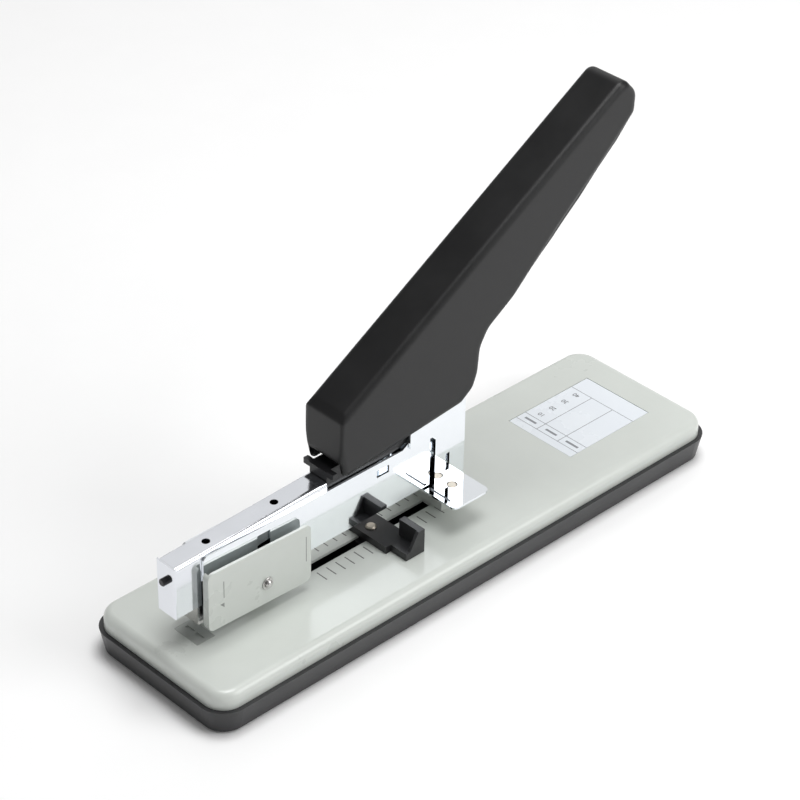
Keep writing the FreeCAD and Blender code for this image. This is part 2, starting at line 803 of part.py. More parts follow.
def clamp_foot():
    """Painted clamp foot: two tall side plates with turned-in front edges, joined by a web."""
    body = new_body("clamp")
    rise = tangent(S.foot_plate_tilt)

    def low(x):
        return S.foot_plate_low - rise * (x - S.stud_place)

    def high(x):
        return S.foot_plate_high - rise * (x - S.stud_place)

    front, rear = S.foot_plate_front, S.foot_plate_rear
    plate = outline(body, "clamp_edge", SIDE, [
        (front, low(front)), (rear, low(rear)), (rear, high(rear)), (front, high(front))])
    pad(body, "clamp_block", plate, S.foot_plate_outer * 2, both=True)
    round_edges(
        body, "clamp_corners", 2.6,
        lambda e: runs_along(e, Y_AXIS))
    inner = S.foot_plate_outer - S.foot_plate_sheet
    space = outline(body, "clamp_space_edge", SIDE, [
        (front + S.foot_plate_sheet, low(front) - 3), (rear + 3, low(rear) - 3),
        (rear + 3, high(rear) + 3), (front + S.foot_plate_sheet, high(front) + 3)])
    pocket(body, "clamp_space", space, inner * 2, both=True)
    gate = box_outline(
        body, "clamp_gate_edge", SIDE, (front - 2, S.foot_plate_low - 8),
        (front + 3, S.foot_plate_high + 8))
    pocket(body, "clamp_gate", gate, (S.frame_half_width + 0.7) * 2, both=True)
    web_front = S.stud_place - S.foot_web_length / 2
    web_rear = S.stud_place + S.foot_web_length / 2
    web = outline(body, "clamp_web_edge", SIDE, [
        (web_front, low(web_front)), (web_rear, low(web_rear)),
        (web_rear, low(web_rear) + S.foot_plate_sheet),
        (web_front, low(web_front) + S.foot_plate_sheet)])
    pad(body, "clamp_web", web, S.foot_plate_outer * 2, both=True)
    hole = circles(
        body, "clamp_hole_edge", SIDE, [(S.stud_place, S.stud_height)],
        2.4 + S.pivot_play * 2)
    pocket(body, "clamp_holes", hole, 60, both=True)
    return node(body, "clamp_foot")


def clamp_studs():
    """Two shoulder studs riveted into the frame, with the washers' rounded heads outside."""
    inner = S.frame_half_width - S.frame_sheet + 0.05
    seat = S.foot_plate_outer + 0.6
    profile = [(0, inner), (1.2, inner), (1.2, S.frame_half_width), (1.9, S.frame_half_width),
               (1.9, S.foot_plate_outer - S.foot_plate_sheet - 0.2),
               (1.2, S.foot_plate_outer - S.foot_plate_sheet - 0.2), (1.2, seat),
               (1.7, seat), (1.7, seat + 0.6), (1.1, seat + 1.1), (0, seat + 1.2)]
    stud = turned("stud", profile, (S.stud_place, 0, S.stud_height), ALONG_Y)
    return pair(stud, "clamp_studs")


def clamp_washers():
    """Washers under the stud heads."""
    low = S.foot_plate_outer + 0.05
    profile = [(1.25, low), (2.7, low), (2.7, low + 0.4), (2.55, low + 0.5), (1.25, low + 0.5)]
    washer = turned("washer", profile, (S.stud_place, 0, S.stud_height), ALONG_Y)
    return pair(washer, "clamp_washers")


# Driver

def channel_line(x):
    """Height of the driver channel's top above a point along it."""
    return S.channel_top + tangent(S.channel_tilt) * (x - S.channel_front)


def driver_channel():
    """Plated top channel: rounded back, deep box at the front, open below."""
    body = new_body("channel")
    front = S.channel_front + S.channel_sheet
    rear = S.channel_rear
    side = outline(body, "channel_edge", SIDE, [
        (front, S.channel_low), (S.frame_front - S.frame_gap, S.channel_low),
        (S.frame_front - S.frame_gap, S.channel_inner_low), (rear, channel_line(rear) - 9),
        (rear, channel_line(rear)), (front, channel_line(front))])
    pad(body, "channel_block", side, S.channel_half_width * 2, both=True)
    round_edges(
        body, "channel_back", 1.6,
        lambda e: abs(abs(e.CenterOfMass.y) - S.channel_half_width.number) < 0.01
        and e.Length > 60 and e.CenterOfMass.z > 57)
    inner = S.channel_half_width - S.channel_sheet
    space = outline(body, "channel_space_edge", SIDE, [
        (front - 2, S.channel_low - 2), (rear + 2, S.channel_low - 2),
        (rear + 2, channel_line(rear + 2) - S.channel_sheet),
        (front - 2, channel_line(front - 2) - S.channel_sheet)])
    pocket(body, "channel_space", space, inner * 2, both=True)
    holes = circles(
        body, "channel_hole_edges", TOP, [(-111.7, 0), (-77.3, 0)], S.channel_hole, 70)
    pocket(body, "channel_holes", holes, 16)
    rivets = circles(body, "channel_rivet_edges", SIDE, lever_rivet_places(), 2.0)
    pocket(body, "channel_rivet_holes", rivets, 40, both=True)
    return node(body, "driver_channel")


def front_plate():
    """Plated cap that closes the front of the channel."""
    body = new_body("cap")
    face = box_outline(
        body, "cap_edge", END, (-S.channel_half_width, S.channel_low - 0.4),
        (S.channel_half_width, S.channel_top), S.channel_front)
    pad(body, "cap_plate", face, S.channel_sheet)
    hole = circles(
        body, "cap_hole_edge", END, [(0, S.front_pin_height)], S.front_pin_diameter - 1,
        S.channel_front)
    pocket(body, "cap_hole", hole, 4, back=True)
    round_edges(
        body, "cap_corners", 0.7,
        lambda e: runs_along(e, Z_AXIS) and near(e, x=S.channel_front))
    return node(body, "front_plate")


def front_pin():
    """Round-headed pin through the front plate."""
    r = S.front_pin_diameter / 2
    out = S.front_pin_length
    profile = [(0, -out), (r - 0.3, -out), (r, -out + 0.3), (r, 0), (r - 0.5, 0),
               (r - 0.5, S.channel_sheet), (r, S.channel_sheet), (r, S.channel_sheet + 1),
               (0, S.channel_sheet + 1)]
    pin = turned("cap_pin", profile, (S.channel_front, 0, S.front_pin_height), ALONG_X)
    return node(pin, "front_pin")


def driver_lever():
    """Black folded lever behind the channel: tongue, cam pad and the eye for the rear pin."""
    body = new_body("lever")
    rear = S.channel_rear
    under = channel_line(rear) - S.channel_sheet
    tongue_front = rear - 18
    wide = outline(body, "lever_edge", SIDE, [
        (rear + 0.3, under - 6.5), (S.pivot_place - 14, 60.5),
        (S.pivot_place + 2, S.pivot_height - 5.0), (S.pivot_place + 5, S.pivot_height),
        (S.pivot_place + 3, S.pivot_height + 4), (S.pivot_place - 4, S.pivot_height + 3.6),
        (-27, S.lever_pad), (-37.6, S.lever_pad), (-39, 66.4), (rear - 0.4, 66.4),
        (rear + 0.3, 65.6)])
    pad(body, "lever_block", wide, S.lever_half_width * 2, both=True)
    hollow = outline(body, "lever_hollow_edge", SIDE, [
        (rear + 2.0, under - 9), (S.pivot_place - 14, 56), (S.pivot_place - 6, 64),
        (S.pivot_place - 12, 67), (-27, S.lever_pad - 1.6), (-37, S.lever_pad - 1.6),
        (-39, 64.8), (rear + 2.0, 64.8)])
    pocket(body, "lever_hollow", hollow, (S.lever_half_width - 1.5) * 2, both=True)
    tongue = outline(body, "tongue_edge", SIDE, [
        (tongue_front, channel_line(tongue_front) - S.channel_sheet - 5),
        (rear + 2, under - 5), (rear + 2, under - 0.05),
        (tongue_front, channel_line(tongue_front) - S.channel_sheet - 0.05)])
    tongue_half = S.channel_half_width - S.channel_sheet - 0.05
    pad(body, "tongue", tongue, tongue_half * 2, both=True)
    lip = box_outline(body, "lip_edge", SIDE, (rear + 0.3, S.lip_low), (rear + 2.6, 66.2))
    pad(body, "lip", lip, 17.0, both=True)
    bore = circles(
        body, "lever_bore_edge", SIDE, [(S.pivot_place, S.pivot_height)],
        S.pivot_diameter + S.pivot_play * 2)
    pocket(body, "lever_bore", bore, 40, both=True)
    rivets = circles(body, "lever_rivet_edge", SIDE, lever_rivet_places(), 2.0)
    pocket(body, "lever_rivet_holes", rivets, 40, both=True)
    return node(body, "driver_lever")


def lever_rivet_places():
    """Where the lever's tongue is riveted to the channel."""
    return [(S.channel_rear - 4, S.channel_top - 0.4), (S.channel_rear - 14, S.channel_top - 0.7)]


def lever_rivets():
    """Two flush rivets through the lever's tongue."""
    pins = []
    for number, (x, z) in enumerate(lever_rivet_places()):
        pin = document.addObject("Part::Cylinder", f"lever_rivet_{number}")
        pin.Radius = 1.0
        bind(pin, "Height", S.channel_half_width * 2)
        put(pin, (x, -S.channel_half_width, z), ALONG_Y)
        pins.append(pin)
    group = document.addObject("Part::Compound", "lever_rivet_group")
    group.Links = pins
    return node(group, "lever_rivets")


def driver_blade():
    """Hardened blade that pushes the front staple out through the nose."""
    body = new_body("blade")
    low = S.blade_low
    half = S.blade_half_width
    ear = S.channel_half_width - S.channel_sheet - S.pivot_play
    edge = outline(body, "blade_edge", END, [
        (-half, low), (half, low), (half, 45.0), (ear, 46.2), (ear, 52.0), (-ear, 52.0),
        (-ear, 46.2), (-half, 45.0)], S.anvil_place - S.blade_thickness / 2)
    pad(body, "blade_plate", edge, S.blade_thickness)
    hole = circles(
        body, "blade_hole_edge", END, [(0, 49.0)], 2.0, S.anvil_place - 3)
    pocket(body, "blade_hole", hole, 6, back=True)
    return node(body, "driver_blade")


# Handle

def along_handle(distance, depth):
    """Place measured along the handle's top line from its nose, and down square to it."""
    start_x, start_z = -48.5, 92.6
    x = start_x + cosine(S.handle_slope) * distance + sine(S.handle_slope) * depth
    z = start_z + sine(S.handle_slope) * distance - cosine(S.handle_slope) * depth
    return (x, z)


def handle_outline(inset):
    """Side outline of the handle's shell, set in by the wall where asked."""
    top_front = along_handle(inset * 0.6, inset)
    top_rear = along_handle(S.handle_length - inset, inset)
    return [
        (S.handle_nose + inset + 1.6, 62.6 - inset * 3),
        (14.4 + inset, 68.9 - inset * 3),
        (21.0 - inset, 73.6 - inset),
        (23.6 - inset, 80.0),
        (24.6 - inset, 91.5 + inset),
        (28.6 - inset, 98.4 + inset),
        (42.6 - inset * 0.6, 107.6 + inset),
        (58.0 - inset * 0.6, 122.2 + inset),
        (69.6 - inset * 0.6, 132.9 + inset),
        (88.6 - inset * 0.6, 149.0 + inset),
        (108.2 - inset, 167.2 + inset),
        (S.handle_tip - inset, 176.2 - inset * 0.2),
        top_rear,
        top_front,
        (S.handle_nose + 0.4 + inset, 89.4 - inset * 0.4),
        (S.handle_nose + inset, 70.0),
    ]


GRIP_BELLY = [
    (44.6, 108.2), (58.4, 120.2), (64.4, 125.0), (71.6, 131.4), (79.6, 138.0),
    (89.6, 147.6), (99.8, 156.4), (107.8, 165.0)]
GRIP_BACK = [(106.4, 168.6), (88.0, 151.8), (69.0, 135.6), (56.0, 123.8), (43.4, 111.4)]


def handle_shell():
    """Black moulded handle: deep nose cheeks, flat back, curved belly and a hollow underside."""
    body = new_body("shell")
    side = outline(body, "shell_edge", SIDE, handle_outline(as_size(0)))
    pad(body, "shell_block", side, S.handle_half_width * 2, both=True)
    edge = S.handle_half_width.number
    belly = ((14.4, 68.9, 4.0), (21.0, 73.6, 6.0), (23.6, 80.0, 14.0), (24.6, 91.5, 8.0),
             (28.6, 98.4, 8.0), (42.6, 107.6, 20.0), (S.handle_tip, 176.2, 6.0),
             (108.2, 167.2, 5.0))
    for number, (x, z, radius) in enumerate(belly):
        round_edges(
            body, f"shell_belly_{number}", radius,
            lambda e: runs_along(e, Y_AXIS) and near(e, x=x, z=z))
    nose_x = (S.handle_nose + 1.6).number
    round_edges(
        body, "shell_nose_low", 4.0,
        lambda e: runs_along(e, Y_AXIS) and near(e, x=nose_x, z=62.6))
    tip_x, tip_z = along_handle(S.handle_length, 0)
    round_edges(
        body, "shell_tip", 4.5,
        lambda e: runs_along(e, Y_AXIS) and near(e, x=tip_x, z=tip_z))
    round_edges(
        body, "shell_back_edges", 2.6,
        lambda e: abs(abs(e.CenterOfMass.y) - edge) < 0.01 and e.Length > 100)
    wall = S.handle_wall
    inner = outline(body, "shell_space_edge", SIDE, handle_outline(wall))
    pocket(body, "shell_space", inner, (S.handle_half_width - wall) * 2, both=True)
    mouth = outline(body, "shell_mouth_edge", SIDE, [
        (S.handle_nose - 3, 55), (24.0, 55), (32.0, 90.0), (44.0, 104.0), (36.0, 113.0),
        (16.0, 95.0), (4.0, 75.0), (S.handle_nose + 3.2, 70.6), (S.handle_nose - 3, 70.6)])
    pocket(body, "shell_mouth", mouth, (S.handle_half_width - wall) * 2, both=True)
    seat_line = [(x - 0.2, z + 0.2) for x, z in GRIP_BACK]
    seat = outline(body, "grip_seat_edge", SIDE, [(41.0, 100.0), (114.0, 160.0)] + seat_line)
    pocket(body, "grip_seat", seat, (S.handle_half_width - wall) * 2, both=True)
    return node(body, "handle_shell")


def handle_grip():
    """Grip insert along the belly, swelling below the seam."""
    body = new_body("grip")
    side = outline(body, "grip_edge", SIDE, GRIP_BELLY + GRIP_BACK)
    pad(body, "grip_block", side, (S.handle_half_width - S.handle_wall - 0.1) * 2, both=True)
    round_edges(
        body, "grip_edges", 1.4,
        lambda e: abs(abs(e.CenterOfMass.y) - 8.8) < 0.01 and e.CenterOfMass.z < 166
        and e.CenterOfMass.x * 0.875 - e.CenterOfMass.z > -72.6)
    return node(body, "handle_grip")


SHELL_SCREWS = (62, 104)


def handle_lever():
    """Steel fork inside the handle: two plates round the pin and the roller, and a back strap."""
    body = new_body("fork")
    nx, nz = S.handle_pivot_place, S.handle_pivot_height
    side = outline(body, "fork_edge", SIDE, [
        (nx - 4.6, nz - 4.2), (nx + 10, nz - 4.2), (nx + 13.2, nz + 2), (nx + 10, nz + 8),
        along_handle(22, 14), along_handle(118, 8.5), along_handle(118, 2.6),
        along_handle(4, 2.6), (nx - 6.8, nz + 10), (nx - 6.8, nz)])
    outer = S.bracket_inner - 0.2
    pad(body, "fork_block", side, outer * 2, both=True)
    space = outline(body, "fork_space_edge", SIDE, [
        (nx - 14, nz - 10), (nx + 20, nz - 10), (nx + 24, nz + 10),
        along_handle(130, 16), along_handle(130, 4.0), along_handle(4, 4.0), (nx - 14, nz + 14)])
    pocket(body, "fork_space", space, (outer - 1.2) * 2, both=True)
    bore = circles(
        body, "fork_bore_edge", SIDE, [(nx, nz)], S.pivot_diameter + S.pivot_play * 2)
    pocket(body, "fork_bore", bore, 40, both=True)
    roller = circles(body, "fork_roller_edge", SIDE, [roller_place()], 3.0)
    pocket(body, "fork_roller_holes", roller, 40, both=True)
    for number, distance in enumerate(SHELL_SCREWS):
        slot = outline(body, f"screw_slot_edge_{number}", SIDE, [
            along_handle(distance - 1.5, 2.0), along_handle(distance + 1.5, 2.0),
            along_handle(distance + 1.5, 5.0), along_handle(distance - 1.5, 5.0)])
        pocket(body, f"screw_slot_{number}", slot, 3.0, both=True)
    return node(body, "handle_fork")


def roller_place():
    """Centre of the press roller, just behind the handle's pin."""
    x = S.handle_pivot_place + cosine(S.roller_rise) * S.roller_arm
    z = S.handle_pivot_height + sine(S.roller_rise) * S.roller_arm
    return (x, z)


def roller_pin():
    """Pin that carries the press roller between the fork's plates."""
    x, z = roller_place()
    half = S.bracket_inner - 0.3
    pin = document.addObject("Part::Cylinder", "roller_pin_solid")
    pin.Radius = 1.5
    bind(pin, "Height", half * 2)
    put(pin, (x, -half, z), ALONG_Y)
    return node(pin, "roller_pin")


def press_roller():
    """Roller that bears down on the driver lever's pad."""
    x, z = roller_place()
    half = S.bracket_inner - 1.8
    bore = 1.5 + S.pivot_play
    r = S.roller_radius
    profile = [(bore, -half), (r - 0.4, -half), (r, -half + 0.4), (r, half - 0.4),
               (r - 0.4, half), (bore, half)]
    roller = turned("roller", profile, (x, 0, z), ALONG_Y)
    return node(roller, "press_roller")


def handle_screws():
    """Two screws that hold the shell to the fork's strap."""
    screws = []
    for number, distance in enumerate(SHELL_SCREWS):
        x, z = along_handle(distance, 1.7)
        profile = [(0, 0), (1.4, 0), (1.4, 2.4), (2.6, 2.4), (2.6, 3.8), (0, 3.8)]
        turn = FreeCAD.Rotation(Y_AXIS, 180 - DIMENSIONS["handle_slope"])
        screws.append(turned(f"shell_screw_{number}", profile, (x, 0, z), turn))
    document.recompute()
    group = document.addObject("Part::Compound", "shell_screw_group")
    group.Links = screws
    return node(group, "handle_screws")


# Paper guide

def paper_guide():
    """Black moulded paper guide: a cross bar and two upright stops with ribs."""
    body = new_body("guide")
    low = S.cover_top + S.slide_gap
    bar = box_outline(
        body, "guide_bar_edge", TOP, (S.guide_front, -S.guide_half_width),
        (S.guide_rear, S.guide_half_width), low)
    pad(body, "guide_bar", bar, S.guide_bar_height)
    neck = box_outline(
        body, "guide_neck_edge", TOP, (S.guide_front - 1, -S.guide_half_width - 1),
        (S.guide_front + 2.6, -S.guide_half_width + 9), low - 1)
    pocket(body, "guide_neck", neck, 20, back=True)
    far_neck = box_outline(
        body, "far_neck_edge", TOP, (S.guide_front - 1, S.guide_half_width - 9),
        (S.guide_front + 2.6, S.guide_half_width + 1), low - 1)
    pocket(body, "far_guide_neck", far_neck, 20, back=True)
    for number, side in enumerate((-1, 1)):
        outer = S.guide_half_width * side
        inner = (S.guide_half_width - S.guide_tab_width) * side
        stop = box_outline(
            body, f"stop_edge_{number}", TOP, (S.guide_rear - 3.0, outer),
            (S.guide_rear, inner), low)
        pad(body, f"stop_{number}", stop, S.guide_tab_top - low)
        cheek = outline(body, f"stop_rib_edge_{number}", SIDE, [
            (S.guide_front + 3.2, low + 1), (S.guide_rear - 1, low + 1),
            (S.guide_rear - 1, S.guide_tab_top), (S.guide_rear - 3.4, S.guide_tab_top)],
            -outer if number else -outer - 1.4)
        pad(body, f"stop_rib_{number}", cheek, 1.4)
    bore = circles(body, "guide_bore_edge", TOP, [(S.guide_rivet, 0)], 3.0, low)
    pocket(body, "guide_bore", bore, 20, back=True)
    return node(body, "paper_guide")


def guide_rivet():
    """Rivet that holds the guide and its slider together through the slot."""
    low = -S.cover_sheet - S.slide_gap * 2 - 2.2
    high = S.guide_bar_height
    profile = [(0, low), (2.2, low), (2.2, low + 0.6), (1.5, low + 0.6), (1.5, high),
               (2.3, high), (2.3, high + 0.4), (1.7, high + 0.9), (0, high + 1.0)]
    rivet = turned(
        "guide_rivet_solid", profile, (S.guide_rivet, 0, S.cover_top + S.slide_gap))
    return node(rivet, "guide_rivet")


def guide_slider():
    """Plate under the cover that keeps the guide in its slot, with a tongue in the slot."""
    body = new_body("slider")
    top = COVER_UNDER - S.slide_gap
    plate = box_outline(
        body, "slider_edge", TOP, (S.guide_rivet - 7, -6), (S.guide_rivet + 7, 6), top)
    pad(body, "slider_plate", plate, 1.6, back=True)
    tongue = box_outline(
        body, "slider_tongue_edge", TOP, (S.guide_rivet - 4.5, -S.slot_width / 2 + S.slide_gap),
        (S.guide_rivet + 4.5, S.slot_width / 2 - S.slide_gap), top - 0.2)
    pad(body, "slider_tongue", tongue, S.cover_sheet + S.slide_gap * 2 + 0.2)
    bore = circles(body, "slider_bore_edge", TOP, [(S.guide_rivet, 0)], 3.0, top + 4)
    pocket(body, "slider_bore", bore, 20)
    return node(body, "guide_slider")


# Staple follower

def staple_follower():
    """Follower that rides over the rail and pushes the staples forward."""
    body = new_body("pusher")
    front = S.frame_front + 6.4
    block = box_outline(
        body, "pusher_edge", END, (-S.channel_half_width, S.nose_bottom + S.frame_sheet + 0.2),
        (S.channel_half_width, S.rail_top + 1.5), front)
    pad(body, "pusher_block", block, 12)
    half = S.rail_half_width + S.slide_gap
    straddle = box_outline(
        body, "straddle_edge", END, (-half, S.nose_bottom - 2),
        (half, S.rail_top + S.slide_gap), front - 1)
    pocket(body, "straddle", straddle, 20, back=True)
    return node(body, "staple_follower")


def build():
    """Make each sub-part in turn."""
    base_tray()
    base_cover()
    rubber_feet()
    cover_screws()
    label_plate()
    anvil()
    bracket_riser()
    rear_bracket()
    wing_rivets()
    cross_pin("rear_pin", "rear_pivot_pin", S.pivot_place, S.pivot_height, BRACKET_OUTER)
    cross_pin(
        "nose_pin", "handle_pivot_pin", S.handle_pivot_place, S.handle_pivot_height,
        BRACKET_OUTER + 0.6)
    magazine_frame()
    nose_block()
    staple_rail()
    clamp_foot()
    clamp_studs()
    clamp_washers()
    driver_channel()
    front_plate()
    front_pin()
    driver_lever()
    lever_rivets()
    driver_blade()
    handle_shell()
    handle_grip()
    handle_lever()
    roller_pin()
    press_roller()
    handle_screws()
    paper_guide()
    guide_rivet()
    guide_slider()
    staple_follower()


build()
document.recompute()

# Check every feature, then write one file for each sub-part

for item in document.Objects:
    if "Invalid" in item.State or "Error" in item.State:
        raise RuntimeError(f"{item.Name} is not valid: {item.State}")
for item in NODES:
    if item.Shape.isNull() or not item.Shape.isValid():
        raise RuntimeError(f"{item.Label} has no valid shape")

os.makedirs("parts", exist_ok=True)
for item in NODES:
    item.Shape.exportStep(f"parts/{item.Label}.step")
print(len(NODES), "sub-parts written")
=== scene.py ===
# %% [markdown]
# # A heavy-duty stapler, dressed from its CAD frame
# The machine is a long steel base with a magazine, a chromed driver channel and a tall black
# handle. Its pieces are finished solids in the imported CAD model, so there is little to model
# here: each piece gets its finish, the marks are printed on, the clamp's scored lines get painted
# shade, and the photograph's floor, light and camera are set up. Blender gets every length in
# metres, and MM turns a millimetre into them. The axes are the CAD's own: X runs along the base
# towards the label, Y across it, Z up.

# %% The frame
import math

import bpy
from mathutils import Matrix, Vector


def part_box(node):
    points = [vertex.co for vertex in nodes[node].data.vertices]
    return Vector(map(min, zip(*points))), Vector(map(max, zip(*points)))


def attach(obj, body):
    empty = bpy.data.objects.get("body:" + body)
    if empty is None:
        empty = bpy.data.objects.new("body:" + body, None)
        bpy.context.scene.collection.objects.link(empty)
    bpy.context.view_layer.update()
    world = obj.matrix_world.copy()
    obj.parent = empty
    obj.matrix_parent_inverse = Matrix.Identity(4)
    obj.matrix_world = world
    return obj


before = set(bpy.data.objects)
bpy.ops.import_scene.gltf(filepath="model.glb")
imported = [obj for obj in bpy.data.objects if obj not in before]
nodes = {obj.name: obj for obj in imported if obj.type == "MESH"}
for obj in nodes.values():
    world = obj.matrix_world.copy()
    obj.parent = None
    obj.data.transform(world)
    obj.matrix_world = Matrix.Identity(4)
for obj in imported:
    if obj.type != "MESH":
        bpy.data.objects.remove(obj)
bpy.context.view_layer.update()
MM = 0.001

# %% [markdown]
# ## Shader nodes by name
# A shader tree could be wired by hand in the editor. In a script, the same few lines come back
# for every node: make it, then fill its inputs. One helper does both, so that each finish
# below only says what is special about it.

# %% Adding a shader node


def add(tree, kind, **values):
    """Adds a shader node and sets its inputs; an underscore stands for a space in a name."""
    made = tree.nodes.new(kind)
    for name, value in values.items():
        made.inputs[name.replace("_", " ")].default_value = value
    return made


def object_place(tree):
    """Object coordinates in metres, as a vector socket and its X, Y and Z."""
    coords = tree.nodes.new("ShaderNodeTexCoord")
    parts = tree.nodes.new("ShaderNodeSeparateXYZ")
    tree.links.new(coords.outputs["Object"], parts.inputs[0])
    return coords.outputs["Object"], parts.outputs


# %% [markdown]
# ## Node groups
# Most surfaces of the machine share a few effects. Copying their nodes into each material
# would work, but one node group can be mended in one place, and each material still gives it
# its own values.

# %% Making and placing a group
NUMBER = "NodeSocketFloat"
VECTOR = "NodeSocketVector"


def new_group(name, inputs, outputs):
    """A shader node group with float inputs, and outputs given as (name, kind)."""
    group = bpy.data.node_groups.new(name, "ShaderNodeTree")
    for label, value in inputs:
        socket = group.interface.new_socket(label, in_out="INPUT", socket_type=NUMBER)
        socket.default_value = value
    for label, kind in outputs:
        group.interface.new_socket(label, in_out="OUTPUT", socket_type=kind)
    return group, group.nodes.new("NodeGroupInput"), group.nodes.new("NodeGroupOutput")


def use_group(tree, group, **values):
    """Puts a shared node group into a material and sets its inputs."""
    made = tree.nodes.new("ShaderNodeGroup")
    made.node_tree = group
    for name, value in values.items():
        made.inputs[name.replace("_", " ")].default_value = value
    return made


# %% [markdown]
# ## Fine grain
# Sprayed paint, moulded plastic and turned steel are never quite smooth: light breaks up on
# speckle finer than a millimetre. Real dents would need millions of faces, so a noise texture
# drives a Bump node instead, which tilts the normal and leaves the shape alone.

# %% Grain group
GRAIN_HEIGHT = 0.05 * MM


def relief_of(group, noise, height, given, out):
    """Ends a relief group: its noise gives the value and, through a bump, the normal."""
    bump = add(group, "ShaderNodeBump", Distance=height)
    group.links.new(noise.outputs["Fac"], bump.inputs["Height"])
    group.links.new(given.outputs["Depth"], bump.inputs["Strength"])
    group.links.new(noise.outputs["Fac"], out.inputs["Value"])
    group.links.new(bump.outputs["Normal"], out.inputs["Normal"])
    return group


def make_grain():
    """Fine speckle, as a sprayed or moulded surface has."""
    group, given, out = new_group(
        "fine_grain", [("Scale", 900.0), ("Depth", 0.1)], [("Value", NUMBER), ("Normal", VECTOR)])
    vector, _ = object_place(group)
    noise = add(group, "ShaderNodeTexNoise", Detail=3.0, Roughness=0.55)
    group.links.new(vector, noise.inputs["Vector"])
    group.links.new(given.outputs["Scale"], noise.inputs["Scale"])
    return relief_of(group, noise, GRAIN_HEIGHT, given, out)


grain = make_grain()
print("group:", grain.name)

# %% [markdown]
# ## Drawn lines
# The magazine, the bracket and the channel are folded from rolled strip, whose faint lines run
# along the machine. The same noise does it when it is stretched: a Mapping node makes it
# about sixty times finer across the strip than along it.

# %% Drawn lines group
DRAWN_HEIGHT = 0.02 * MM
DRAWN_STRETCH = (12.0, 700.0, 700.0)


def make_drawn_lines():
    """Faint lines that run along X, as rolled or drawn sheet metal has."""
    group, given, out = new_group(
        "drawn_lines", [("Depth", 0.05)], [("Value", NUMBER), ("Normal", VECTOR)])
    vector, _ = object_place(group)
    stretch = add(group, "ShaderNodeMapping", Scale=DRAWN_STRETCH)
    noise = add(group, "ShaderNodeTexNoise", Scale=1.0, Detail=4.0, Roughness=0.6)
    group.links.new(vector, stretch.inputs["Vector"])
    group.links.new(stretch.outputs["Vector"], noise.inputs["Vector"])
    return relief_of(group, noise, DRAWN_HEIGHT, given, out)


drawn_lines = make_drawn_lines()
print("group:", drawn_lines.name)

# %% [markdown]
# ## Soft patches
# A handled machine is glossier in some places than in others, and its colour drifts a little.
# Painting that by hand would need an image. Wide noise between 0 and 1 does the same, and each
# finish uses it to mix two colours and two degrees of gloss.

# %% Patches group


def make_patches():
    """Wide soft patches between 0 and 1, for handled and unevenly worn surfaces."""
    group, given, out = new_group("soft_patches", [("Scale", 35.0)], [("Value", NUMBER)])
    vector, _ = object_place(group)
    noise = add(group, "ShaderNodeTexNoise", Detail=5.0, Roughness=0.6)
    spread = add(group, "ShaderNodeMapRange", From_Min=0.3, From_Max=0.7)
    group.links.new(vector, noise.inputs["Vector"])
    group.links.new(given.outputs["Scale"], noise.inputs["Scale"])
    group.links.new(noise.outputs["Fac"], spread.inputs["Value"])
    group.links.new(spread.outputs["Result"], out.inputs["Value"])
    return group


soft_patches = make_patches()
print("group:", soft_patches.name)

# %% [markdown]
# ## Marks as masks
# The cover's scale, the label's table and the clamp's gauge lines are flat print or shallow
# scores. They could be thin meshes, but those flicker against the sheet below. A mask worked
# out from Object coordinates is exact at any distance and moves with its piece. The helpers
# compare a coordinate with two limits and join the results.

# %% Mask helpers


def math_node(tree, operation, first, second=None):
    """A Math node whose inputs are sockets or numbers. Gives its output socket."""
    made = tree.nodes.new("ShaderNodeMath")
    made.operation = operation
    for position, value in enumerate((first, second)):
        if value is None:
            continue
        if isinstance(value, (int, float)):
            made.inputs[position].default_value = value
        else:
            tree.links.new(value, made.inputs[position])
    return made.outputs[0]


def between(tree, value, low, high):
    """1 where a value lies between two numbers, 0 elsewhere."""
    above = math_node(tree, "GREATER_THAN", value, low)
    below = math_node(tree, "LESS_THAN", value, high)
    return math_node(tree, "MULTIPLY", above, below)


def box_mask(tree, first, second, box):
    """1 inside a rectangle: box is low and high of the first coordinate, then of the second."""
    a = between(tree, first, box[0], box[1])
    b = between(tree, second, box[2], box[3])
    return math_node(tree, "MULTIPLY", a, b)


def either(tree, masks):
    """The largest of several masks."""
    total = masks[0]
    for mask in masks[1:]:
        total = math_node(tree, "MAXIMUM", total, mask)
    return total


def in_metres(*lengths):
    """Lengths in millimetres, as a tuple in metres."""
    return tuple(length * MM for length in lengths)


# %% [markdown]
# ## The slot's scale
# Beside the slot, the cover carries grey ticks for setting the paper guide, 5 mm apart on both
# sides. Dividing X by the pitch and rounding gives the nearest tick, and the mask is 1 close
# to it. It begins just under the top face, or the ticks would run down through the sheet.

# %% Scale group
TICK_PITCH = 5 * MM
TICK_START = 1 * MM
TICK_WIDTH = 0.55 * MM
TICKS_ALONG = in_metres(-61.5, 8.5)
TICKS_NEAR = in_metres(-10.3, -4.4)
TICKS_FAR = in_metres(5.4, 11.0)
TICKS_ABOVE = 18.5 * MM


